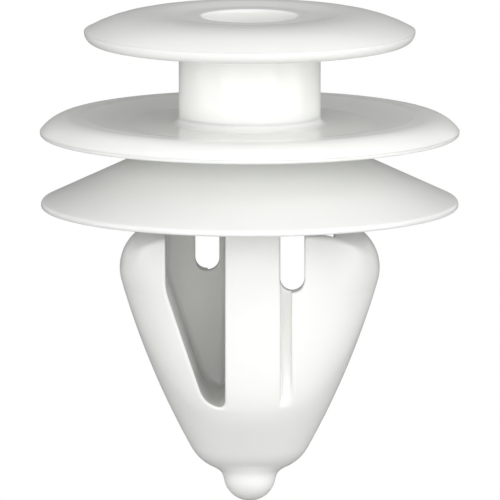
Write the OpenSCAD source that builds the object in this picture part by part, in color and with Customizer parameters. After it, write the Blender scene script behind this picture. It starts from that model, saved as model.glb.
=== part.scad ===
// Push-in trim clip: a head disc and a panel flange on a short neck, an umbrella
// seal below them, and a split anchor whose two wings fold in to pass a round hole.
// Z = 0 is the plane of the seal's rim, where the clip meets the sheet.

/* [Head and neck] */
// Outer diameter of the head disc
head_d = 13.46; // [12:0.1:15]
// Diameter of the head's raised crest
head_crest_d = 8; // [7:0.1:10]
// Height of the crest above the head's underside
head_h = 1.186; // [1:0.002:1.4]
// Depth of the shallow dish inside the crest
head_dish = 0.1; // [0.05:0.05:0.2]
// Diameter of the blind socket in the head
socket_d = 3.9; // [3:0.1:4.2]
// Depth of the socket below the dish
socket_depth = 3.4; // [1.5:0.1:3.8]
// Diameter of the neck
neck_d = 5.76; // [5.4:0.02:6.2]
// Free height of the neck between flange floor and head
neck_h = 3.294; // [3:0.002:4]

/* [Panel flange] */
// Outer diameter of the flange
flange_d = 17.04; // [15:0.1:19]
// Diameter of the flange's raised crest
flange_crest_d = 14.6; // [12:0.1:15]
// Diameter of the flat floor around the neck
flange_floor_d = 10.16; // [9:0.1:11]
// Thickness of the flange at its floor
flange_t = 0.49; // [0.4:0.05:0.8]
// Height of the crest above the flange's underside
flange_h = 0.77; // [0.6:0.01:0.9]

/* [Umbrella seal] */
// Outer diameter of the seal's rim
seal_d = 16.96; // [15:0.1:19]
// Height from the seal's rim plane to the flange's underside
seal_h = 2.95; // [2.6:0.05:3.4]
// Thickness of the seal at its rim
seal_rim_t = 0.27; // [0.2:0.01:0.4]
// Thickness of the seal at its root
seal_root_t = 0.62; // [0.5:0.02:0.8]
// Radial width of the rim that bears on the sheet
lip_w = 0.8; // [0.6:0.1:1.2]

/* [Anchor] */
// Width of the anchor across its two wings
anchor_w = 10.57; // [10:0.05:11]
// Depth of the anchor from post face to post face
anchor_depth = 7.4; // [7:0.05:7.6]
// Clear height between the rim plane and the wings' tops
sheet_gap = 0.66; // [0.6:0.02:0.9]
// Radius of the wings' shoulders
shoulder_r = 1.83; // [1.5:0.01:2]
// Radius of the long flank below the shoulder
flank_r = 33.2; // [30:0.1:40]
// Radius of the nose's round end
nose_r = 1.83; // [1.5:0.01:2]
// Radius of the pilot tip
tip_r = 1.057; // [0.9:0.001:1.2]
// Free length of the pilot tip below the nose
tip_l = 1.28; // [1.2:0.02:1.6]

/* [Ribs and walls] */
// Thickness of the web between the two posts
web_t = 2; // [1.6:0.1:2.2]
// How far a post's face runs past the web on its hinge side
post_step = 0.24; // [0.2:0.02:0.3]
// Thickness of a wing's side wall
wall_t = 0.93; // [0.8:0.01:1]
// Width of the slot above the living hinge
slot_w = 0.976; // [0.9:0.002:1.1]
// Height of the slot's foot below the rim plane
slot_foot = 3.02; // [2.9:0.02:3.2]
// Width of the living hinge
hinge_w = 0.45; // [0.4:0.01:0.5]
// Thickness of the living hinge
hinge_t = 0.46; // [0.4:0.02:0.5]
// Half-width of the pocket between web and wing
pocket_x = 3.415; // [3.3:0.005:3.5]

/* [Hidden] */

nylon = "ivory";
seal_nylon = "honeydew";
arc_steps = 10;

// how far the neck is rooted in the flange below it and in the head above it
spigot = 0.25;

// heights of the stacked discs
flange_z = seal_h;
floor_z = flange_z + flange_t;
head_z = floor_z + neck_h;
neck_r = neck_d / 2;

// radius of the arc that rises from a rim at height 0 to a crest at height h,
// over a radial distance w, and is level at the crest
function brim_r(w, h) = (w * w + h * h) / (2 * h);
// points along an arc from angle a0 to a1
function arc(c, r, a0, a1, steps = arc_steps) =
    [for (i = [0:steps]) let (a = a0 + (a1 - a0) * i / steps)
        [c[0] + r * cos(a), c[1] + r * sin(a)]];
// direction from the axis outwards and down by the angle a
function down(a) = [cos(a), -sin(a)];

// head profile
head_r = head_d / 2;
head_edge = 0.466;
head_brim_w = (head_d - head_crest_d) / 2;
head_brim_h = head_h - head_edge;
head_brim = brim_r(head_brim_w, head_brim_h);
dish_z = head_z + head_h - head_dish;

// flange profile
flange_r = flange_d / 2;
flange_edge = 0.15;
flange_brim_w = (flange_d - flange_crest_d) / 2;
flange_brim_h = flange_h - flange_edge;
flange_brim = brim_r(flange_brim_w, flange_brim_h);

// seal profile
seal_r = seal_d / 2;
seal_top_z = 2.8;
lip_in_r = seal_r - lip_w;
edge_cut = 0.07;

// anchor profile, as arcs that run into each other
wing_top_z = -sheet_gap;
shoulder_a = 16;
flank_a = 28.9;
shoulder_c = [anchor_w / 2 - shoulder_r, wing_top_z - shoulder_r];
flank_c = shoulder_c - (flank_r - shoulder_r) * down(shoulder_a);
nose_c = flank_c + (flank_r - nose_r) * down(flank_a);
nose_a = acos((tip_r - nose_c[0]) / nose_r);
nose_z = nose_c[1] - nose_r * sin(nose_a);

// the posts' faces lie on two wide cylinders that make a lens in plan
lens_r = 7.45;
lens_y = lens_r - anchor_depth / 2;

// ribs, walls and the plane where the wings start
web_x = web_t / 2;
post_x = web_x + post_step;
hinge_x = post_x + hinge_w;
slot_x = post_x + slot_w / 2;
wall_y = 3.5 - wall_t;
hinge_y = wall_y + hinge_t;
root_z = -6.85;
root_gap = 0.02;
pocket_knee_z = -3;
pocket_foot = [1.87, -7.56];
pocket_z = -7.92;
stem_z = -0.2;
post_top_z = 0.9;
reach = 2 * anchor_w;

// outline of the anchor from the level z = top down to the nose's flat foot
function anchor_outline(top) = concat(
    [[0, nose_z], [0, top]],
    arc(shoulder_c, shoulder_r, 90, -shoulder_a),
    arc(flank_c, flank_r, -shoulder_a, -flank_a),
    arc(nose_c, nose_r, -flank_a, -nose_a));

// outline of the posts: the same below, and straight above
function post_outline() = concat(
    [[0, nose_z], [0, post_top_z], [anchor_w / 2, post_top_z]],
    arc(flank_c, flank_r, -shoulder_a, -flank_a),
    arc(nose_c, nose_r, -flank_a, -nose_a));

module turn(points) rotate_extrude($fn = 96) polygon(points);

// the space between the two wide cylinders
module lens()
    intersection_for (side = [-1, 1])
        translate([0, side * lens_y, -reach]) cylinder(r = lens_r, h = 2 * reach, $fn = 180);

// anything drawn in X and Z, pushed from y0 to y1
module across(y0, y1)
    translate([0, y1, 0]) rotate([90, 0, 0]) linear_extrude(y1 - y0) children();

module band(z0, z1)
    translate([-reach, -reach, z0]) cube([2 * reach, 2 * reach, z1 - z0]);

module head_disc()
    color(nylon) difference() {
        turn(concat(
            [[0, head_z]],
            arc([head_r - head_edge, head_z + head_edge], head_edge, -90, 0),
            arc([head_crest_d / 2, head_z + head_h - head_brim], head_brim,
                90 - asin(head_brim_w / head_brim), 90),
            [[head_crest_d / 2 - 1.2, dish_z], [0, dish_z]]));
        translate([0, 0, head_z - 1]) cylinder(d = socket_d, h = head_h + 2, $fn = 96);
        translate([0, 0, head_z - 1]) cylinder(r = neck_r, h = 1 + spigot, $fn = 96);
    }

module neck()
    color(nylon) difference() {
        translate([0, 0, floor_z - spigot]) cylinder(r = neck_r, h = neck_h + 2 * spigot, $fn = 96);
        translate([0, 0, dish_z - socket_depth]) cylinder(d = socket_d, h = reach, $fn = 96);
    }

module panel_flange()
    color(nylon) difference() {
        turn(concat(
            [[0, flange_z]],
            arc([flange_r - flange_edge, flange_z + flange_edge], flange_edge, -90, 0),
            arc([flange_crest_d / 2, flange_z + flange_h - flange_brim], flange_brim,
                90 - asin(flange_brim_w / flange_brim), 90),
            [[flange_floor_d / 2, floor_z], [0, floor_z]]));
        translate([0, 0, floor_z - spigot]) cylinder(r = neck_r, h = reach, $fn = 96);
    }

// half-section of the whole seal, cone and rim in one
module seal_section()
    polygon([
        [neck_r, flange_z], [neck_r + 0.2, seal_top_z],
        [seal_r - edge_cut, seal_rim_t], [seal_r, edge_cut * 1.5], [seal_r - edge_cut, 0],
        [lip_in_r, 0], [neck_r, seal_top_z - seal_root_t]]);

module seal_skirt()
    color(seal_nylon) rotate_extrude($fn = 96) intersection() {
        seal_section();
        square([lip_in_r, seal_h]);
    }

module seal_lip()
    color(seal_nylon) rotate_extrude($fn = 96) difference() {
        seal_section();
        square([lip_in_r, seal_h]);
    }

module stem()
    color(nylon) translate([0, 0, stem_z])
        cylinder(r = neck_r, h = flange_z - stem_z, $fn = 96);

module centre_web()
    color(nylon) translate([-web_x, -wall_y, root_z])
        cube([web_t, 2 * wall_y, stem_z - root_z]);

module front_post()
    color(nylon) intersection() {
        turn(post_outline());
        lens();
        difference() {
            translate([-web_x, -reach, root_z])
                cube([web_x + post_x, reach - wall_y, post_top_z - root_z]);
            translate([0, 0, stem_z]) cylinder(r = neck_r, h = reach, $fn = 96);
        }
        // the post's top leans back to the stem
        translate([0, 0, root_z])
            cylinder(r1 = neck_r + post_top_z - root_z, r2 = neck_r, h = post_top_z - root_z, $fn = 96);
    }

module back_post() rotate(180) front_post();

// the pocket between the web and the right wing, seen from the front
module pocket_shape()
    polygon([[web_x, reach], [web_x, pocket_z], [hinge_x - 0.1, pocket_z],
             pocket_foot, [pocket_x, pocket_knee_z], [pocket_x, reach]]);

// groove outside the right living hinge
module hinge_groove()
    translate([post_x, -reach, pocket_z]) cube([hinge_w, reach - hinge_y, reach]);

module nose_cone()
    color(nylon) difference() {
        intersection() {
            turn(anchor_outline(wing_top_z));
            lens();
            band(nose_z - 1, root_z);
        }
        for (side = [0, 180]) rotate(side) {
            across(-wall_y, reach) pocket_shape();
            hinge_groove();
        }
    }

module pilot_tip()
    color(nylon) translate([0, 0, nose_z]) union() {
        translate([0, 0, tip_r - tip_l]) cylinder(r = tip_r, h = tip_l - tip_r, $fn = 96);
        difference() {
            translate([0, 0, tip_r - tip_l]) sphere(r = tip_r, $fn = 96);
            translate([-reach, -reach, tip_r - tip_l]) cube(2 * reach);
        }
    }

module right_half()
    intersection() {
        turn(anchor_outline(wing_top_z));
        lens();
        band(root_z + root_gap, wing_top_z + 1);
    }

module right_wing()
    color(nylon) difference() {
        right_half();
        across(-reach, reach) pocket_shape();
        translate([web_x - reach, -reach, -reach]) cube([reach, 2 * reach, 2 * reach]);
    }

// the slot that frees the wall's top from the post
module slot()
    across(-reach, reach) union() {
        translate([slot_x, slot_w / 2 - slot_foot]) circle(d = slot_w, $fn = 48);
        translate([slot_x - slot_w / 2, slot_w / 2 - slot_foot]) square([slot_w, reach]);
    }

module right_wing_wall()
    color(nylon) difference() {
        intersection() {
            right_half();
            across(-reach, -wall_y) difference() {
                pocket_shape();
                translate([hinge_x - reach, -reach]) square([reach, 2 * reach]);
            }
        }
        slot();
    }

module right_living_hinge()
    color(nylon) difference() {
        translate([post_x, -hinge_y, root_z])
            cube([hinge_w, hinge_t, -slot_foot + slot_w / 2 - root_z]);
        slot();
    }

module left_wing() rotate(180) right_wing();
module left_wing_wall() rotate(180) right_wing_wall();
module left_living_hinge() rotate(180) right_living_hinge();

head_disc();
neck();
panel_flange();
seal_skirt();
seal_lip();
stem();
centre_web();
front_post();
back_post();
nose_cone();
pilot_tip();
right_wing();
right_wing_wall();
right_living_hinge();
left_wing();
left_wing_wall();
left_living_hinge();
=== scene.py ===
"""Looks of a push-in trim clip: a head disc and flange on a neck, an umbrella seal and a split anchor.

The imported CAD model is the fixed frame. Round parts are turned from filleted outlines, and the
anchor is one smooth distance field, cut into the pieces that move apart.
"""

import logging
import math
from dataclasses import dataclass, field
from enum import Enum
from typing import Callable, Sequence

import bmesh
import bpy
import numpy as np
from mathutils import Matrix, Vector


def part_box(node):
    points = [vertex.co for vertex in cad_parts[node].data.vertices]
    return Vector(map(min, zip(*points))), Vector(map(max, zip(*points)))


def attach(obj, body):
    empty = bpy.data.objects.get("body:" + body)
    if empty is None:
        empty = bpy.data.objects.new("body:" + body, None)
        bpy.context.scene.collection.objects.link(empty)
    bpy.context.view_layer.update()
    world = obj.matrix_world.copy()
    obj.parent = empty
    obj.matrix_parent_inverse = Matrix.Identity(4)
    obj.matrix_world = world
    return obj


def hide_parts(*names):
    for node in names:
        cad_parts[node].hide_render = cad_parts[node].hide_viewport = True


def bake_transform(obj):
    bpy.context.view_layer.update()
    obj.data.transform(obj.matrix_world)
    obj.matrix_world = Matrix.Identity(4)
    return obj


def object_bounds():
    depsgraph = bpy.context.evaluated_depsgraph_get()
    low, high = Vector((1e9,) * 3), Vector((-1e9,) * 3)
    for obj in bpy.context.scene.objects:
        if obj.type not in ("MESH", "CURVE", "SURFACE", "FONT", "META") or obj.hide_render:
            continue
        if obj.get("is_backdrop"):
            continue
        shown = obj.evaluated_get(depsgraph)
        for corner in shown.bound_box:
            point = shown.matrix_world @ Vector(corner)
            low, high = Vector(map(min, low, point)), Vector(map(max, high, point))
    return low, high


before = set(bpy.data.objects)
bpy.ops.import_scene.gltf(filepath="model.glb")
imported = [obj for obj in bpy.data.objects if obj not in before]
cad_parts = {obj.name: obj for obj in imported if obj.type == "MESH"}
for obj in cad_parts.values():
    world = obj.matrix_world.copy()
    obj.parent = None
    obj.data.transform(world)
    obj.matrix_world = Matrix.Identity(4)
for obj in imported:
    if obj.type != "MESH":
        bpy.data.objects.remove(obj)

MM = 0.001
LOG = logging.getLogger("trim_clip")
NYLON_IOR = 1.53
SOAK_BY_COLOUR = (1.0, 0.98, 0.94)
TINY = 1e-6
LEAST_SLOPE = 0.05
# Where the turned stem meets the anchor below it, in millimetres.
STEM_CUT_Z = 1.3

Point2 = tuple[float, float]
Point3 = tuple[float, float, float]
Field = Callable[[np.ndarray], np.ndarray]

UP, DOWN = (0.0, 0.0, 1.0), (0.0, 0.0, -1.0)
RIGHT, LEFT = (1.0, 0.0, 0.0), (-1.0, 0.0, 0.0)
BACK, FRONT = (0.0, 1.0, 0.0), (0.0, -1.0, 0.0)


# ---------------------------------------------------------------- meshes


@dataclass(frozen=True)
class Corner:
    """One corner of a turned outline, in millimetres.

    Args:
        r: Distance from the axis.
        z: Height.
        fillet: Radius of the round on the corner, 0 for a sharp one.
    """

    r: float
    z: float
    fillet: float = 0.0


@dataclass
class Strip:
    """A stretch of outline with its own outward direction at each end."""

    start: np.ndarray
    end: np.ndarray
    start_out: np.ndarray
    end_out: np.ndarray


def outward(direction: np.ndarray) -> np.ndarray:
    """Returns the unit vector to the right of a walk that keeps the material on its left."""
    d = direction / np.linalg.norm(direction)
    return np.array([d[1], -d[0]])


def outline(corners: Sequence[Corner], arc_step: float = 5.0) -> list[Strip]:
    """Walks round a closed outline and turns each fillet into short strips.

    Args:
        corners: The corners, anticlockwise round the material.
        arc_step: The turn of each fillet strip, in degrees.

    Returns:
        The strips in order, with exact directions at both ends of each.
    """
    at = [np.array([c.r, c.z]) for c in corners]
    count = len(corners)
    entries, exits, rounds = [], [], []
    for i, corner in enumerate(corners):
        before, here, after = at[i - 1], at[i], at[(i + 1) % count]
        come = (here - before) / np.linalg.norm(here - before)
        leave = (after - here) / np.linalg.norm(after - here)
        turn = math.atan2(come[0] * leave[1] - come[1] * leave[0], float(come @ leave))
        cut = corner.fillet * math.tan(abs(turn) / 2)
        entries.append(here - come * cut)
        exits.append(here + leave * cut)
        rounds.append(_round_strips(entries[-1], come, turn, corner.fillet, arc_step))
    strips: list[Strip] = []
    for i in range(count):
        strips += rounds[i]
        start, end = exits[i], entries[(i + 1) % count]
        if np.linalg.norm(end - start) > TINY:
            out = outward(end - start)
            strips.append(Strip(start, end, out, out))
    return strips


def _round_strips(start: np.ndarray, come: np.ndarray, turn: float, radius: float,
                  arc_step: float) -> list[Strip]:
    """Splits one fillet into strips.

    Args:
        start: Where the fillet begins.
        come: The walk's unit direction there.
        turn: The angle that the walk turns by, in radians, positive to the left.
        radius: The fillet's radius.
        arc_step: The turn of each strip, in degrees.

    Returns:
        The strips of the fillet, none for a sharp corner.
    """
    if radius <= 0 or abs(turn) < TINY:
        return []
    side = math.copysign(1.0, turn)
    centre = start + side * radius * np.array([-come[1], come[0]])
    steps = max(2, math.ceil(math.degrees(abs(turn)) / arc_step))
    angles = [turn * i / steps for i in range(steps + 1)]
    outs = [np.array([math.cos(a) * come[1] + math.sin(a) * come[0],
                      math.sin(a) * come[1] - math.cos(a) * come[0]]) for a in angles]
    places = [centre + side * radius * out for out in outs]
    return [Strip(places[i], places[i + 1], outs[i], outs[i + 1]) for i in range(steps)]


def new_object(name: str, points: np.ndarray, faces: list[Sequence[int]],
               loop_normals: np.ndarray) -> bpy.types.Object:
    """Makes a smooth mesh object.

    Args:
        name: The object's name.
        points: Vertices in millimetres.
        faces: Vertex numbers of each face.
        loop_normals: One direction for each corner of each face, in order.

    Returns:
        The new object, in metres.
    """
    mesh = bpy.data.meshes.new(name)
    mesh.from_pydata((points * MM).tolist(), [], faces)
    mesh.polygons.foreach_set("use_smooth", np.ones(len(mesh.polygons), bool))
    mesh.normals_split_custom_set(loop_normals.tolist())
    mesh.update()
    obj = bpy.data.objects.new(name, mesh)
    bpy.context.scene.collection.objects.link(obj)
    return obj


def turned(name: str, corners: Sequence[Corner], segments: int = 192,
           arc_step: float = 5.0) -> bpy.types.Object:
    """Turns a closed outline about the Z axis.

    Args:
        name: The object's name.
        corners: The outline, anticlockwise round the material.
        segments: How many steps the turn has.
        arc_step: The turn of each fillet strip, in degrees.

    Returns:
        The turned solid.
    """
    strips = [s for s in outline(corners, arc_step) if max(s.start[0], s.end[0]) > TINY]
    angles = np.arange(segments) * 2 * math.pi / segments
    cos, sin = np.cos(angles), np.sin(angles)
    rings: dict[tuple[float, float], list[int]] = {}
    points: list[Point3] = []

    def ring(place: np.ndarray) -> list[int]:
        """Returns the vertex numbers of the ring at one outline point."""
        key = (round(float(place[0]), 6), round(float(place[1]), 6))
        if key not in rings:
            first = len(points)
            if key[0] < TINY:
                points.append((0.0, 0.0, key[1]))
                rings[key] = [first] * segments
            else:
                points.extend(zip(key[0] * cos, key[0] * sin, [key[1]] * segments))
                rings[key] = list(range(first, first + segments))
        return rings[key]

    faces: list[tuple[int, ...]] = []
    normals: list[Point3] = []
    for strip in strips:
        low, high = ring(strip.start), ring(strip.end)
        for i in range(segments):
            j = (i + 1) % segments
            corner_list = [(low[i], i, strip.start_out), (low[j], j, strip.start_out),
                           (high[j], j, strip.end_out), (high[i], i, strip.end_out)]
            kept = [c for k, c in enumerate(corner_list) if c[0] != corner_list[k - 1][0]]
            faces.append(tuple(c[0] for c in kept))
            normals += [(out[0] * cos[a], out[0] * sin[a], out[1]) for _, a, out in kept]
    return new_object(name, np.array(points), faces, np.array(normals))


# ---------------------------------------------------------------- distance fields


def smooth_max(a: np.ndarray, b: np.ndarray, width: float) -> np.ndarray:
    """Returns the larger of two fields, rounded where they are within width of each other."""
    near = np.clip(width - np.abs(a - b), 0, None) / width
    return np.maximum(a, b) + near * near * width / 4


def smooth_min(a: np.ndarray, b: np.ndarray, width: float) -> np.ndarray:
    """Returns the smaller of two fields, rounded where they are within width of each other."""
    return -smooth_max(-a, -b, width)


def gradient(distance: Field, points: np.ndarray, step: float = 0.004) -> np.ndarray:
    """Returns a field's slope at each point by central differences."""
    slopes = [(distance(points + step * axis) - distance(points - step * axis)) / (2 * step)
              for axis in np.eye(3)]
    return np.stack(slopes, axis=1)


def settle(distance: Field, points: np.ndarray, rounds: int) -> np.ndarray:
    """Moves points onto a field's zero surface.

    Args:
        distance: The field.
        points: The points to move.
        rounds: How many Newton steps to take.

    Returns:
        The moved points.
    """
    for _ in range(rounds):
        slope = gradient(distance, points)
        size = np.maximum((slope * slope).sum(axis=1), LEAST_SLOPE)
        points = points - slope * (distance(points) / size)[:, None]
    return points


def surface_net(distance: Field, low: Point3, high: Point3,
                cell: float) -> tuple[np.ndarray, np.ndarray]:
    """Meshes a field's zero surface with one vertex for each mixed cell.

    Args:
        distance: The field, negative inside the material.
        low: Lowest corner of the box that holds the surface.
        high: Highest corner of that box.
        cell: The cell size.

    Returns:
        The vertices, and the four vertex numbers of each face.
    """
    axes = [np.arange(a, b + cell, cell) for a, b in zip(low, high)]
    grid = np.stack(np.meshgrid(*axes, indexing="ij"), axis=-1)
    shape = grid.shape[:3]
    values = distance(grid.reshape(-1, 3)).reshape(shape)
    inside = values < 0
    offsets = [(i, j, k) for i in (0, 1) for j in (0, 1) for k in (0, 1)]

    def corner(grid_values: np.ndarray, offset: tuple[int, int, int]) -> np.ndarray:
        """Returns the values at one corner of every cell."""
        return grid_values[tuple(slice(o, n - 1 + o) for o, n in zip(offset, shape))]

    total = sum(corner(inside, o).astype(np.int8) for o in offsets)
    mixed = (total > 0) & (total < 8)
    cells = np.argwhere(mixed)
    number = np.full(mixed.shape, -1)
    number[mixed] = np.arange(len(cells))

    summed, crossings = np.zeros((len(cells), 3)), np.zeros(len(cells))
    for start in offsets:
        for axis in range(3):
            if start[axis]:
                continue
            end = tuple(o + (k == axis) for k, o in enumerate(start))
            a, b = corner(values, start)[mixed], corner(values, end)[mixed]
            hit = (a < 0) != (b < 0)
            place = np.tile(np.array(start, float), (hit.sum(), 1))
            place[:, axis] += a[hit] / (a[hit] - b[hit])
            summed[hit] += place
            crossings[hit] += 1
    vertices = np.array(low) + (cells + summed / crossings[:, None]) * cell

    faces = []
    for axis in range(3):
        u, v = (axis + 1) % 3, (axis + 2) % 3
        ahead = np.moveaxis(inside, axis, 0)
        change = np.moveaxis(ahead[:-1] != ahead[1:], 0, axis)
        edges = np.argwhere(change)
        edges = edges[(edges[:, u] > 0) & (edges[:, v] > 0)]
        edges = edges[(edges[:, u] < shape[u] - 1) & (edges[:, v] < shape[v] - 1)]
        ring = []
        for du, dv in ((-1, -1), (0, -1), (0, 0), (-1, 0)):
            at = edges.copy()
            at[:, u] += du
            at[:, v] += dv
            ring.append(number[tuple(at.T)])
        quads = np.stack(ring, axis=1)
        flip = ~inside[tuple(edges.T)]
        quads[flip] = quads[flip][:, ::-1]
        faces.append(quads)
    return vertices, np.concatenate(faces)


def relax(distance: Field, points: np.ndarray, faces: np.ndarray, rounds: int) -> np.ndarray:
    """Evens out a surface net while keeping it on the field's zero surface.

    Args:
        distance: The field.
        points: The net's vertices.
        faces: The net's quads.
        rounds: How many times to even it out.

    Returns:
        The moved vertices.
    """
    ends = np.concatenate([faces[:, [i, (i + 1) % 4]] for i in range(4)])
    ends = np.unique(np.sort(ends, axis=1), axis=0)
    degree = np.bincount(ends.ravel(), minlength=len(points)).astype(float)
    for _ in range(rounds):
        summed = np.zeros_like(points)
        for axis in range(3):
            summed[:, axis] = (np.bincount(ends[:, 0], points[ends[:, 1], axis], len(points))
                               + np.bincount(ends[:, 1], points[ends[:, 0], axis], len(points)))
        middle = summed / degree[:, None]
        points = settle(distance, points + 0.5 * (middle - points), 1)
    return settle(distance, points, 3)


# ---------------------------------------------------------------- finishes


class Part(Enum):
    """Parts of the clip that have a finish of their own."""

    DISC = "disc"
    ANCHOR = "anchor"
    SEAL = "seal"

    @property
    def slot(self) -> str:
        """The record's material slot that the part takes its finish from."""
        return "seal_nylon" if self is Part.SEAL else "nylon"


def new_group(name: str, inputs: dict[str, float],
              outputs: Sequence[str]) -> tuple[bpy.types.NodeTree, bpy.types.Node, bpy.types.Node]:
    """Starts a shader node group.

    Args:
        name: The group's name.
        inputs: Input names with their default values.
        outputs: Output names.

    Returns:
        The group, its input node and its output node.
    """
    group = bpy.data.node_groups.new(name, "ShaderNodeTree")
    for label, value in inputs.items():
        socket = group.interface.new_socket(label, in_out="INPUT", socket_type="NodeSocketFloat")
        socket.default_value = value
    for label in outputs:
        group.interface.new_socket(label, in_out="OUTPUT", socket_type="NodeSocketFloat")
    return group, group.nodes.new("NodeGroupInput"), group.nodes.new("NodeGroupOutput")


def math_node(tree: bpy.types.NodeTree, operation: str, first: bpy.types.NodeSocket | float,
              second: bpy.types.NodeSocket | float) -> bpy.types.NodeSocket:
    """Adds a Math node and links or sets its inputs.

    Args:
        tree: The tree to add it to.
        operation: The node's operation.
        first: A socket or a number.
        second: A socket or a number.

    Returns:
        The node's output socket.
    """
    node = tree.nodes.new("ShaderNodeMath")
    node.operation = operation
    for socket, value in zip(node.inputs, (first, second)):
        if isinstance(value, bpy.types.NodeSocket):
            tree.links.new(value, socket)
        else:
            socket.default_value = value
    return node.outputs[0]


def noise_node(tree: bpy.types.NodeTree, scale: bpy.types.NodeSocket, detail: float,
               roughness: float) -> bpy.types.NodeSocket:
    """Adds a Noise texture on the piece's own coordinates.

    Args:
        tree: The tree to add it to.
        scale: A socket that gives the repeats for each metre.
        detail: How many octaves it has.
        roughness: How strong the finer octaves are.

    Returns:
        The texture's value, 0 to 1.
    """
    place = tree.nodes.new("ShaderNodeTexCoord")
    node = tree.nodes.new("ShaderNodeTexNoise")
    node.inputs["Detail"].default_value = detail
    node.inputs["Roughness"].default_value = roughness
    tree.links.new(place.outputs["Object"], node.inputs["Vector"])
    tree.links.new(scale, node.inputs["Scale"])
    return node.outputs[0]


def moulded_skin_group() -> bpy.types.NodeTree:
    """Builds the skin of a moulding: fine tool grain over slow waviness.

    Returns:
        A group with Grain Scale, Wave Scale and Wave Share in, and Height, Cloud and Polish out.
    """
    group, given, out = new_group(
        "moulded_skin", {"Grain Scale": 9000.0, "Wave Scale": 420.0, "Wave Share": 0.6},
        ("Height", "Cloud", "Polish"))
    grain = noise_node(group, given.outputs["Grain Scale"], 3.0, 0.6)
    wave = noise_node(group, given.outputs["Wave Scale"], 2.0, 0.5)
    share = given.outputs["Wave Share"]
    rest = math_node(group, "SUBTRACT", 1.0, share)
    height = math_node(group, "ADD", math_node(group, "MULTIPLY", wave, share),
                       math_node(group, "MULTIPLY", grain, rest))
    slow = math_node(group, "MULTIPLY", given.outputs["Wave Scale"], 0.5)
    group.links.new(height, out.inputs["Height"])
    group.links.new(wave, out.inputs["Cloud"])
    group.links.new(noise_node(group, slow, 4.0, 0.6), out.inputs["Polish"])
    return group


@dataclass(frozen=True)
class MouldedNylon:
    """White moulded nylon.

    Args:
        name: The material's name.
        colour: Base colour, linear.
        shade: Colour of its slightly darker clouds, linear.
        roughness: Middle roughness of the skin.
        uneven: How far the roughness ranges between polished and dull patches.
        depth: How far light soaks in, in millimetres.
        soak: How much of the light soaks in, 0 to 1.
        wave: Share of slow waviness in the relief, the rest being fine grain, 0 to 1.
        relief: Height of the relief, in millimetres.
        relief_share: How strongly the relief tilts the light, 0 to 1.
    """

    name: str
    colour: Point3
    shade: Point3
    roughness: float
    uneven: float
    depth: float
    soak: float
    wave: float = 0.5
    relief: float = 0.004
    relief_share: float = 0.5

    def build(self, skin: bpy.types.NodeTree) -> bpy.types.Material:
        """Builds the material.

        Args:
            skin: The moulded_skin group.

        Returns:
            The material.
        """
        material = bpy.data.materials.new(self.name)
        material.use_nodes = True
        tree = material.node_tree
        shader = tree.nodes["Principled BSDF"]
        shader.inputs["IOR"].default_value = NYLON_IOR
        shader.inputs["Subsurface Weight"].default_value = self.soak
        shader.inputs["Subsurface Radius"].default_value = SOAK_BY_COLOUR
        shader.inputs["Subsurface Scale"].default_value = self.depth * MM

        surface = tree.nodes.new("ShaderNodeGroup")
        surface.node_tree = skin
        surface.inputs["Wave Share"].default_value = self.wave

        tint = tree.nodes.new("ShaderNodeMix")
        tint.data_type = "RGBA"
        tint.inputs["A"].default_value = (*self.shade, 1)
        tint.inputs["B"].default_value = (*self.colour, 1)
        tree.links.new(surface.outputs["Cloud"], tint.inputs["Factor"])
        tree.links.new(tint.outputs["Result"], shader.inputs["Base Color"])

        spread = math_node(tree, "MULTIPLY", surface.outputs["Polish"], self.uneven)
        rough = math_node(tree, "ADD", spread, self.roughness - self.uneven / 2)
        tree.links.new(rough, shader.inputs["Roughness"])

        bump = tree.nodes.new("ShaderNodeBump")
        bump.inputs["Distance"].default_value = self.relief * MM
        bump.inputs["Strength"].default_value = self.relief_share
        tree.links.new(surface.outputs["Height"], bump.inputs["Height"])
        tree.links.new(bump.outputs["Normal"], shader.inputs["Normal"])
        return material


@dataclass
class Finishes:
    """The clip's finishes. Thin discs let more light through than the solid anchor."""

    disc: MouldedNylon = MouldedNylon(
        "disc_nylon", colour=(0.90, 0.905, 0.88), shade=(0.88, 0.885, 0.86),
        roughness=0.21, uneven=0.08, depth=0.3, soak=0.5)
    anchor: MouldedNylon = MouldedNylon(
        "anchor_nylon", colour=(0.90, 0.905, 0.88), shade=(0.88, 0.885, 0.86),
        roughness=0.21, uneven=0.08, depth=0.1, soak=0.15)
    seal: MouldedNylon = MouldedNylon(
        "seal_nylon", colour=(0.90, 0.905, 0.885), shade=(0.88, 0.885, 0.865),
        roughness=0.22, uneven=0.06, depth=0.6, soak=0.7)
    made: dict[Part, bpy.types.Material] = field(default_factory=dict)

    def build(self) -> None:
        """Builds the shared skin and every material."""
        skin = moulded_skin_group()
        self.made = {Part.DISC: self.disc.build(skin), Part.ANCHOR: self.anchor.build(skin),
                     Part.SEAL: self.seal.build(skin)}

    def dress(self, piece: bpy.types.Object, part: Part) -> None:
        """Puts a part's finish on a piece."""
        piece.data.materials.clear()
        piece.data.materials.append(self.made[part])


# ---------------------------------------------------------------- the clip


def level(node: str, top: bool) -> float:
    """Returns the height of a node's top or bottom, in millimetres."""
    low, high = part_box(node)
    return (high if top else low)[2] / MM


def half_width(node: str) -> float:
    """Returns half of a node's size along X, in millimetres."""
    low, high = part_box(node)
    return (high[0] - low[0]) / 2 / MM


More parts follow.
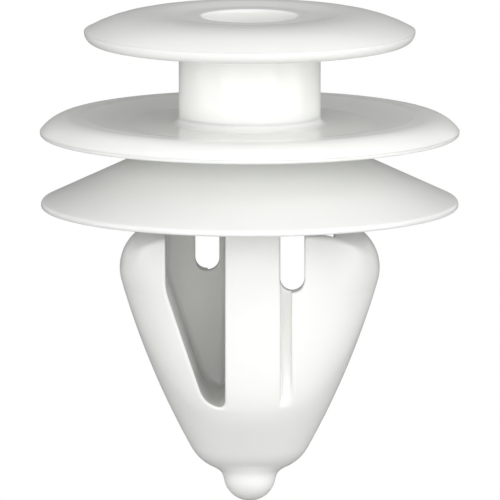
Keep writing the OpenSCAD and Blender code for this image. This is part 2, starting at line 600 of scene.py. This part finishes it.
@dataclass
class PanelSpool:
    """Head disc, neck, panel flange and stem: the spool that the trim panel slides onto.

    Sizes are in millimetres. Heights and outer radii come from the frame.
    """

    finishes: Finishes
    neck_r: float = 2.88
    socket_r: float = 1.95
    socket_floor_z: float = 4.42
    socket_round: float = 0.25
    head_crest_r: float = 4.0
    head_rim_z: float = 7.2
    head_rim_round: float = 0.03
    head_dish: float = 0.1
    head_dish_run: float = 0.9
    head_dish_round: float = 4.0
    head_crest_run: float = 0.3
    head_crest_round: float = 3.0
    head_corner: float = 0.12
    flange_crest_r: float = 7.3
    flange_lip_r: float = 6.72
    flange_lip_drop: float = 0.005
    flange_floor_r: float = 5.08
    flange_slope_round: float = 1.2
    flange_edge: float = 0.15
    flange_low_round: float = 0.08
    flange_edge_round: float = 0.04
    flange_dish: float = 0.28
    neck_fillet: float = 0.28

    def __post_init__(self) -> None:
        """Reads the levels and radii that the frame fixes."""
        self.head_r = half_width("head_disc")
        self.flange_r = half_width("panel_flange")
        self.head_low, self.head_top = level("head_disc", False), level("head_disc", True)
        self.flange_low, self.flange_top = level("panel_flange", False), level("panel_flange", True)
        self.floor_z = self.flange_top - self.flange_dish
        self.head_root_z = self.head_low - self.neck_fillet * 0.5
        self.neck_root_z = self.floor_z + self.neck_fillet

    @staticmethod
    def brim_round(rim_r: float, crest_r: float, rise: float) -> float:
        """Returns the radius of the arc that rises from a rim to a level crest."""
        width = rim_r - crest_r
        return (width * width + rise * rise) / (2 * rise)

    def brim_knee(self, rim_r: float, crest_r: float, rise: float) -> float:
        """Returns where the arc's two end tangents meet, as a distance from the axis."""
        round_r = self.brim_round(rim_r, crest_r, rise)
        turn = math.asin((rim_r - crest_r) / round_r)
        return crest_r + round_r * math.tan(turn / 2)

    def head_disc(self) -> bpy.types.Object:
        """Builds the domed head with its dish and socket mouth."""
        low, top = self.head_low, self.head_top
        dish, rise = top - self.head_dish, top - self.head_rim_z
        crest_in = self.head_crest_r - self.head_crest_run
        return turned("head_disc_moulding", [
            Corner(self.socket_r, self.head_root_z),
            Corner(self.neck_r, self.head_root_z),
            Corner(self.neck_r, low, self.head_corner),
            Corner(self.head_r, low, self.head_rim_z - low - self.head_rim_round),
            Corner(self.head_r, self.head_rim_z, self.head_rim_round),
            Corner(self.brim_knee(self.head_r, self.head_crest_r, rise), top,
                   self.brim_round(self.head_r, self.head_crest_r, rise)),
            Corner(crest_in, top, self.head_crest_round),
            Corner(crest_in - self.head_dish_run, dish, self.head_dish_round),
            Corner(self.socket_r, dish, self.head_corner),
        ])

    def neck(self) -> bpy.types.Object:
        """Builds the neck as a cup around the socket."""
        return turned("neck_moulding", [
            Corner(0, self.neck_root_z),
            Corner(self.neck_r, self.neck_root_z),
            Corner(self.neck_r, self.head_root_z),
            Corner(self.socket_r, self.head_root_z),
            Corner(self.socket_r, self.socket_floor_z, self.socket_round),
            Corner(0, self.socket_floor_z),
        ])

    def panel_flange(self) -> bpy.types.Object:
        """Builds the flange: flat floor, raised crest and sloping brim."""
        low, top, floor = self.flange_low, self.flange_top, self.floor_z
        rise = top - low - self.flange_edge
        return turned("panel_flange_moulding", [
            Corner(0, low),
            Corner(self.flange_r, low, self.flange_low_round),
            Corner(self.flange_r, low + self.flange_edge, self.flange_edge_round),
            Corner(self.brim_knee(self.flange_r, self.flange_crest_r, rise), top,
                   self.brim_round(self.flange_r, self.flange_crest_r, rise)),
            Corner(self.flange_lip_r, top - self.flange_lip_drop, self.flange_slope_round),
            Corner(self.flange_floor_r, floor, self.flange_slope_round),
            Corner(self.neck_r, floor, self.neck_fillet),
            Corner(self.neck_r, self.neck_root_z),
            Corner(0, self.neck_root_z),
        ])

    def stem(self) -> bpy.types.Object:
        """Builds the stem that the seal hangs round."""
        return turned("stem_moulding", [
            Corner(0, STEM_CUT_Z),
            Corner(self.neck_r, STEM_CUT_Z),
            Corner(self.neck_r, self.flange_low),
            Corner(0, self.flange_low),
        ])

    def build(self) -> None:
        """Builds, dresses and places the four pieces."""
        for make, node in ((self.head_disc, "head_disc"), (self.neck, "neck"),
                           (self.panel_flange, "panel_flange"), (self.stem, "stem")):
            piece = make()
            self.finishes.dress(piece, Part.DISC)
            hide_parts(node)
            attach(piece, "core")
            LOG.info("%s: %d faces", piece.name, len(piece.data.polygons))


@dataclass
class UmbrellaSeal:
    """The thin umbrella that presses on the sheet. Its rim travels and its cone bends.

    Sizes are in millimetres.
    """

    finishes: Finishes
    root_r: float = 2.9
    root_top: float = 2.8
    root_under: float = 2.15
    root_step: float = 0.1
    rim_t: float = 0.22
    rim_w: float = 0.62
    under_round: float = 0.5
    rim_low_round: float = 0.07
    rim_top_round: float = 0.16

    def __post_init__(self) -> None:
        """Reads the rim's place and the hanging height from the frame."""
        self.rim_r = half_width("seal_lip")
        self.rim_z = level("seal_lip", False)
        self.hang_z = level("seal_skirt", True)

    def umbrella(self) -> bpy.types.Object:
        """Builds the cone with its rounded rim, from the stem outwards."""
        low = self.rim_z
        return turned("umbrella_seal_moulding", [
            Corner(self.root_r, self.root_under),
            Corner(self.rim_r - self.rim_w, low, self.under_round),
            Corner(self.rim_r, low, self.rim_low_round),
            Corner(self.rim_r, low + self.rim_t, self.rim_top_round),
            *self.cone_rings(),
            Corner(self.root_r + self.root_step, self.root_top, self.root_step),
            Corner(self.root_r, self.hang_z),
        ], arc_step=8.0)

    def cone_rings(self, count: int = 14) -> list[Corner]:
        """Returns the rings on the cone's outer face that let it bend smoothly."""
        run = self.rim_r - self.root_r - self.root_step
        drop = self.root_top - self.rim_z - self.rim_t
        shares = [i / (count + 1) for i in range(1, count + 1)]
        return [Corner(self.rim_r - run * t, self.rim_z + self.rim_t + drop * t) for t in shares]

    def build(self) -> None:
        """Builds and dresses the seal in place of the CAD seal."""
        seal = self.umbrella()
        self.finishes.dress(seal, Part.SEAL)
        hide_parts("seal_skirt", "seal_lip")
        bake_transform(seal)
        LOG.info("%s: %d faces", seal.name, len(seal.data.polygons))


@dataclass(frozen=True)
class AnchorShape:
    """The anchor as a distance field, in millimetres, with a half-turn symmetry about Z.

    The outer shape is a round ogive flattened front and back. Pockets, slots and grooves
    cut the two wings free of the web and its posts. In the sizes' names, r is a radius, a is an
    angle in degrees, x, y and z are places, and round and melt are the widths of soft corners.
    """

    shoulder: Point2 = (3.455, -2.49)
    shoulder_r: float = 1.83
    shoulder_a: float = 16.0
    flank_r: float = 33.2
    flank_a: float = 28.9
    nose_r: float = 1.83
    lens_r: float = 7.45
    lens_y: float = 3.75
    top_z: float = -0.66
    melt: float = 0.9
    melt_from_z: float = -0.9
    melt_run: float = 2.4
    melt_least: float = 0.15
    slim_from_z: float = -7.0
    slim_run: float = 3.5
    slim_gain: float = 0.35
    web_x: float = 1.0
    web_round: float = 0.3
    post_x: float = 1.24
    post_skin: float = 0.4
    hinge_x: float = 1.69
    wall_y: float = 2.57
    hinge_y: float = 3.03
    pocket_x: float = 3.415
    pocket_knee_z: float = -3.0
    pocket_foot: Point2 = (1.87, -7.56)
    pocket_z: float = -7.80
    pocket_knee_round: float = 0.12
    pocket_foot_round: float = 0.7
    pocket_wall_round: float = 0.25
    slot_r: float = 0.488
    slot_foot_z: float = -3.02
    slot_reach: float = 0.8
    groove_side_round: float = 0.1
    groove_foot_round: float = 0.3
    stem_r: float = 2.88
    stem_z: float = -0.2
    post_top_z: float = 0.9
    post_top_round: float = 0.1
    stem_melt: float = 0.2
    tool_melt: float = 0.06
    edge: float = 0.13
    tip_r: float = 1.057
    tip_z: float = -11.033
    tip_melt: float = 0.45
    tip_reach: float = 1.5

    def arcs(self) -> list[tuple[Point2, float]]:
        """Returns centre and radius of the shoulder, flank and nose arcs."""
        steep = math.radians(self.shoulder_a)
        flat = math.radians(self.flank_a)
        grow = self.flank_r - self.shoulder_r
        flank = (self.shoulder[0] - grow * math.cos(steep), self.shoulder[1] + grow * math.sin(steep))
        back = self.flank_r - self.nose_r
        nose = (flank[0] + back * math.cos(flat), flank[1] - back * math.sin(flat))
        return [(self.shoulder, self.shoulder_r), (flank, self.flank_r), (nose, self.nose_r)]

    def ogive(self, rho: np.ndarray, z: np.ndarray, shoulders: bool) -> np.ndarray:
        """Returns the round outline's field.

        Args:
            rho: Distance from the axis.
            z: Height.
            shoulders: Whether the outline turns in at the top or runs straight up.

        Returns:
            The distance, negative inside.
        """
        (shoulder, shoulder_r), (flank, flank_r), (nose, nose_r) = self.arcs()
        down = np.degrees(np.arctan2(flank[1] - z, rho - flank[0]))
        result = np.hypot(rho - flank[0], z - flank[1]) - flank_r
        tip = np.hypot(rho - nose[0], z - nose[1]) - nose_r
        result = np.where(down > self.flank_a, tip, result)
        if shoulders:
            corner = np.hypot(np.maximum(rho - shoulder[0], 0), z - shoulder[1]) - shoulder_r
            corner = np.where(rho < shoulder[0], z - self.top_z, corner)
            result = np.where(down < self.shoulder_a, corner, result)
        else:
            result = np.where(down < self.shoulder_a, rho - shoulder[0] - shoulder_r, result)
        return result

    def pocket(self, x: np.ndarray, y: np.ndarray, z: np.ndarray) -> np.ndarray:
        """Returns the field of the pocket between the web and the right wing."""
        knee = np.array([self.pocket_x, self.pocket_knee_z])
        foot = np.array(self.pocket_foot)
        along = (knee - foot) / np.linalg.norm(knee - foot)
        slant = (x - knee[0]) * along[1] - (z - knee[1]) * along[0]
        side = smooth_max(x - self.pocket_x, slant, self.pocket_knee_round)
        side = smooth_max(side, self.pocket_z - z, self.pocket_foot_round)
        side = smooth_max(side, self.web_x - x, self.web_round)
        return smooth_max(side, -self.wall_y - y, self.pocket_wall_round)

    def slot(self, x: np.ndarray, y: np.ndarray, z: np.ndarray) -> np.ndarray:
        """Returns the field of the slot beside the front post."""
        middle = self.post_x + self.slot_r
        low = np.minimum(z - self.slot_foot_z - self.slot_r, 0)
        hole = np.hypot(x - middle, low) - self.slot_r
        return np.maximum(hole, y + self.wall_y - self.slot_reach)

    def groove(self, x: np.ndarray, y: np.ndarray, z: np.ndarray) -> np.ndarray:
        """Returns the field of the groove outside the right living hinge."""
        middle = (self.post_x + self.hinge_x) / 2
        side = np.abs(x - middle) - (self.hinge_x - self.post_x) / 2
        side = smooth_max(side, y + self.hinge_y, self.groove_side_round)
        return smooth_max(side, self.pocket_z - z, self.groove_foot_round)

    def distance(self, points: np.ndarray) -> np.ndarray:
        """Returns the whole anchor's field at each point."""
        x, y, z = points[:, 0], points[:, 1], points[:, 2]
        slim = 1 + self.slim_gain * np.clip((self.slim_from_z - z) / self.slim_run, 0, 1) ** 2
        rho = np.hypot(x, y * slim)
        lens = np.hypot(x, np.abs(y) + self.lens_y) - self.lens_r
        melt = self.melt * np.clip((self.melt_from_z - z) / self.melt_run, self.melt_least, 1)
        body = smooth_max(self.ogive(rho, z, True), lens, melt)
        body = smooth_max(body, z - self.top_z, self.edge)
        straight = smooth_max(self.ogive(rho, z, False), lens, melt)
        posts = np.maximum(straight, np.abs(x) - self.post_x - self.post_skin)
        lean = (rho - self.stem_r + (z - self.post_top_z)) * math.sqrt(0.5)
        posts = smooth_max(posts, lean, self.post_top_round)
        tip = np.hypot(np.hypot(x, y), np.minimum(z - self.tip_z, 0)) - self.tip_r
        tip = np.maximum(tip, z - self.tip_z - self.tip_reach)
        body = smooth_min(np.minimum(body, posts), tip, self.tip_melt)
        cut = np.full_like(x, 1e3)
        for side in (1.0, -1.0):
            for tool in (self.pocket, self.slot, self.groove):
                cut = smooth_min(cut, tool(side * x, side * y, z), self.tool_melt)
        body = smooth_max(body, -cut, self.edge)
        stem = np.maximum(rho - self.stem_r, self.stem_z - z)
        return smooth_min(body, stem, self.stem_melt)


@dataclass(frozen=True)
class Plane:
    """A cutting plane. The piece keeps the side that its direction points away from."""

    at: Point3
    away: Point3


@dataclass
class SplitAnchor:
    """Web, posts, nose and the two sprung wings, cut from one smooth shape.

    Sizes are in millimetres.
    """

    finishes: Finishes
    shape: AnchorShape = AnchorShape()
    cell: float = 0.075
    net_low: Point3 = (-5.5, -4.0, -12.4)
    net_high: Point3 = (5.5, 4.0, STEM_CUT_Z + 0.3)
    even_rounds: int = 4
    root_z: float = -6.4
    wing_top_z: float = -0.43
    foot_z: float = -8.06
    seam_x: float = 1.32
    hinge_end_x: float = 1.66
    hinge_top_z: float = -0.5
    post_seam_y: float = 2.8

    def __post_init__(self) -> None:
        """Reads the tip's seam from the frame."""
        self.tip_top = level("pilot_tip", True)

    def net(self) -> bmesh.types.BMesh:
        """Meshes the whole anchor once."""
        points, faces = surface_net(self.shape.distance, self.net_low, self.net_high, self.cell)
        points = relax(self.shape.distance, points, faces, self.even_rounds)
        mesh = bpy.data.meshes.new("anchor_net")
        mesh.from_pydata(points.tolist(), [], faces.tolist())
        whole = bmesh.new()
        whole.from_mesh(mesh)
        bpy.data.meshes.remove(mesh)
        return whole

    def piece(self, whole: bmesh.types.BMesh, name: str, planes: Sequence[Plane],
              turned_round: bool = False) -> bpy.types.Object:
        """Cuts one piece out of the whole anchor and closes its cut faces.

        Args:
            whole: The anchor's mesh.
            name: The new object's name.
            planes: The planes that bound the piece.
            turned_round: Whether to give the copy half a turn about Z.

        Returns:
            The closed piece, with exact surface normals.
        """
        part = whole.copy()
        for plane in planes:
            everything = [*part.verts, *part.edges, *part.faces]
            bmesh.ops.bisect_plane(part, geom=everything, dist=1e-6, plane_co=plane.at,
                                   plane_no=plane.away, clear_outer=True)
            rim = [e for e in part.edges if e.is_boundary]
            bmesh.ops.holes_fill(part, edges=rim, sides=0)
        caps = self.cap_directions(part, planes)
        points = np.array([v.co for v in part.verts])
        faces = [[v.index for v in f.verts] for f in part.faces]
        normals = gradient(self.shape.distance, points)
        normals /= np.linalg.norm(normals, axis=1)[:, None]
        loops = np.concatenate([normals[f] if cap is None else np.tile(cap, (len(f), 1))
                                for f, cap in zip(faces, caps)])
        if turned_round:
            half_turn = np.array([-1.0, -1.0, 1.0])
            points, loops = points * half_turn, loops * half_turn
        part.free()
        return new_object(name, points, faces, loops)

    @staticmethod
    def cap_directions(part: bmesh.types.BMesh, planes: Sequence[Plane]) -> list:
        """Returns, for each face, the direction of the cut that it closes, or None."""
        part.verts.index_update()
        part.faces.ensure_lookup_table()
        found = []
        for face in part.faces:
            cap = None
            for plane in planes:
                away, at = Vector(plane.away), Vector(plane.at)
                if all(abs((v.co - at) @ away) < 1e-5 for v in face.verts):
                    cap = np.array(plane.away)
            found.append(cap)
        return found

    def place(self, piece: bpy.types.Object, nodes: Sequence[str]) -> None:
        """Dresses a piece and hides the CAD nodes that it stands for."""
        self.finishes.dress(piece, Part.ANCHOR)
        if nodes:
            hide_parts(*nodes)
        LOG.info("%s: %d faces", piece.name, len(piece.data.polygons))

    def build(self) -> None:
        """Builds the fixed middle, the nose, the tip and both wings."""
        whole = self.net()
        seam, post = self.seam_x, self.post_seam_y
        between = [Plane((seam, 0, 0), RIGHT), Plane((-seam, 0, 0), LEFT),
                   Plane((0, 0, STEM_CUT_Z), UP), Plane((0, 0, self.foot_z), DOWN)]
        for name, planes in (("front_post", [*between, Plane((0, -post, 0), BACK)]),
                             ("centre_web", [*between, Plane((0, -post, 0), FRONT),
                                             Plane((0, post, 0), BACK)]),
                             ("back_post", [*between, Plane((0, post, 0), FRONT)]),
                             ("nose_cone", [Plane((0, 0, self.foot_z), UP),
                                            Plane((0, 0, self.tip_top), DOWN)]),
                             ("pilot_tip", [Plane((0, 0, self.tip_top), UP)])):
            piece = self.piece(whole, name + "_moulding", planes)
            self.place(piece, [name])
            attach(piece, "core")
        for side in ("right", "left"):
            self.wing(whole, side)
        whole.free()

    def wing(self, whole: bmesh.types.BMesh, side: str) -> None:
        """Builds one wing, its foot and its living hinge.

        Args:
            whole: The anchor's mesh.
            side: "right", or "left" for the half-turned copy.
        """
        turned_round = side == "left"
        body, sign = side + "_wing", -1 if turned_round else 1
        over_root = Plane((0, 0, self.root_z), DOWN)
        wing = self.piece(whole, side + "_wing_moulding",
                          [Plane((self.hinge_end_x, 0, 0), LEFT), over_root,
                           Plane((0, 0, self.wing_top_z), UP)], turned_round)
        hinge = self.piece(whole, side + "_living_hinge_moulding",
                           [Plane((self.seam_x, 0, 0), LEFT),
                            Plane((self.hinge_end_x, 0, 0), RIGHT), over_root,
                            Plane((0, 0, self.hinge_top_z), UP)], turned_round)
        foot = self.piece(whole, side + "_wing_foot_moulding",
                          [Plane((self.seam_x, 0, 0), LEFT), Plane((0, 0, self.root_z), UP),
                           Plane((0, 0, self.foot_z), DOWN)], turned_round)
        self.place(wing, [side + "_wing", side + "_wing_wall"])
        self.place(hinge, [side + "_living_hinge"])
        self.place(foot, [])
        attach(wing, body)
        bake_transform(hinge)
        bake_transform(foot)


# ---------------------------------------------------------------- studio


@dataclass(frozen=True)
class SoftBox:
    """A rectangular soft light that faces the clip.

    Args:
        name: The light's name.
        azimuth: Degrees to the right of the front.
        elevation: Degrees above level.
        spread: Half of its width and of its height, in degrees as the clip sees them.
        radiance: How bright its face is. A white surface lit from all sides by 1 is white.
        tint: Its colour.
    """

    name: str
    azimuth: float
    elevation: float
    spread: Point2
    radiance: float
    tint: Point3 = (1.0, 1.0, 1.0)


@dataclass
class Studio:
    """Pale floor, white surroundings, soft lights and the camera. Sizes are in metres."""

    middle: Point3 = (0.000012, 0.0, -0.00179)
    camera_far: float = 0.8
    camera_lens: float = 1417.0
    camera_up: float = 8.5
    box_far: float = 0.5
    floor_drop: float = 0.05
    floor_half: float = 6.0
    floor_grey: Point3 = (0.35, 0.35, 0.35)
    floor_roughness: float = 0.9
    around: float = 0.27
    boxes: Sequence[SoftBox] = (
        SoftBox("front_box", 0, 8, (14, 14), 2.8),
        SoftBox("front_right_box", 32, 5, (14, 16), 3.1),
        SoftBox("front_left_box", -32, 5, (14, 16), 3.5),
        SoftBox("right_box", 75, 5, (16, 22), 2.4),
        SoftBox("left_box", -75, 5, (16, 22), 1.8),
        SoftBox("high_front_box", 0, 38, (24, 12), 1.3),
        SoftBox("high_right_box", 60, 38, (22, 12), 1.2),
        SoftBox("top_box", 0, 80, (20, 20), 0.8),
        SoftBox("back_high_box", 180, 50, (24, 14), 0.4),
        SoftBox("back_low_box", 180, -35, (30, 14), 0.5),
        SoftBox("back_right_box", 140, 10, (20, 14), 0.4),
        SoftBox("back_left_box", -140, 10, (20, 14), 0.3),
    )

    def face(self, obj: bpy.types.Object) -> None:
        """Turns a light or the camera to face the middle of the clip."""
        way = Vector(self.middle) - obj.location
        obj.rotation_euler = way.to_track_quat("-Z", "Y").to_euler()

    def around_clip(self, azimuth: float, elevation: float, far: float) -> Vector:
        """Returns a place at a distance from the clip in a direction given in degrees."""
        turn, rise = math.radians(azimuth), math.radians(elevation)
        return Vector(self.middle) + far * Vector(
            (math.sin(turn) * math.cos(rise), -math.cos(turn) * math.cos(rise), math.sin(rise)))

    def camera(self) -> None:
        """Makes the camera, nearly level and far off."""
        data = bpy.data.cameras.new("camera")
        data.lens = self.camera_lens
        data.clip_start, data.clip_end = 0.05, 50.0
        camera = bpy.data.objects.new("camera", data)
        camera.location = self.around_clip(0, self.camera_up, self.camera_far)
        bpy.context.scene.collection.objects.link(camera)
        self.face(camera)
        bpy.context.scene.camera = camera

    def light(self, box: SoftBox) -> None:
        """Adds one soft light."""
        data = bpy.data.lights.new(box.name, "AREA")
        data.shape = "RECTANGLE"
        data.size, data.size_y = (2 * self.box_far * math.tan(math.radians(a)) for a in box.spread)
        data.energy = box.radiance * math.pi * data.size * data.size_y
        data.color = box.tint
        light = bpy.data.objects.new(box.name, data)
        light.location = self.around_clip(box.azimuth, box.elevation, self.box_far)
        light.visible_camera = False
        bpy.context.scene.collection.objects.link(light)
        self.face(light)

    @staticmethod
    def white_to_camera(tree: bpy.types.NodeTree, shader: bpy.types.Node, white: bpy.types.Node,
                        output: bpy.types.Node) -> None:
        """Shows plain white to the camera and another shader to the light.

        Args:
            tree: The material's or the world's tree.
            shader: What lights and reflects.
            white: What the camera sees.
            output: The tree's output node.
        """
        path = tree.nodes.new("ShaderNodeLightPath")
        mix = tree.nodes.new("ShaderNodeMixShader")
        tree.links.new(path.outputs["Is Camera Ray"], mix.inputs[0])
        tree.links.new(shader.outputs[0], mix.inputs[1])
        tree.links.new(white.outputs[0], mix.inputs[2])
        tree.links.new(mix.outputs[0], output.inputs["Surface"])

    def surroundings(self) -> None:
        """Fills the studio with an even glow in front of a white wall."""
        world = bpy.data.worlds.new("studio")
        world.use_nodes = True
        tree = world.node_tree
        glow = tree.nodes["Background"]
        glow.inputs["Color"].default_value = (1, 1, 1, 1)
        glow.inputs["Strength"].default_value = self.around
        white = tree.nodes.new("ShaderNodeBackground")
        white.inputs["Color"].default_value = (1, 1, 1, 1)
        self.white_to_camera(tree, glow, white, tree.nodes["World Output"])
        bpy.context.scene.world = world

    def floor(self, clip_low: float) -> None:
        """Lays the pale floor below the clip.

        Args:
            clip_low: Height of the clip's lowest point.
        """
        half, z = self.floor_half, clip_low - self.floor_drop
        mesh = bpy.data.meshes.new("studio_floor")
        mesh.from_pydata([(-half, -half, z), (half, -half, z), (half, half, z), (-half, half, z)],
                         [], [(0, 1, 2, 3)])
        floor = bpy.data.objects.new("studio_floor", mesh)
        bpy.context.scene.collection.objects.link(floor)
        material = bpy.data.materials.new("pale_floor")
        material.use_nodes = True
        tree = material.node_tree
        paper = tree.nodes["Principled BSDF"]
        paper.inputs["Base Color"].default_value = (*self.floor_grey, 1)
        paper.inputs["Roughness"].default_value = self.floor_roughness
        white = tree.nodes.new("ShaderNodeEmission")
        self.white_to_camera(tree, paper, white, tree.nodes["Material Output"])
        mesh.materials.append(material)
        floor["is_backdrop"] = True

    def build(self, clip_low: float) -> None:
        """Builds the whole studio.

        Args:
            clip_low: Height of the clip's lowest point.
        """
        bpy.context.scene.view_settings.view_transform = "Standard"
        self.camera()
        self.surroundings()
        self.floor(clip_low)
        for box in self.boxes:
            self.light(box)


def main() -> None:
    """Builds the studio and the clip."""
    logging.basicConfig(level=logging.INFO, format="%(message)s")
    cad_box = [list(corner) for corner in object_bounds()]
    Studio().build(cad_box[0][2])
    finishes = Finishes()
    finishes.build()
    PanelSpool(finishes).build()
    UmbrellaSeal(finishes).build()
    SplitAnchor(finishes).build()


if __name__ == "__main__":
    main()
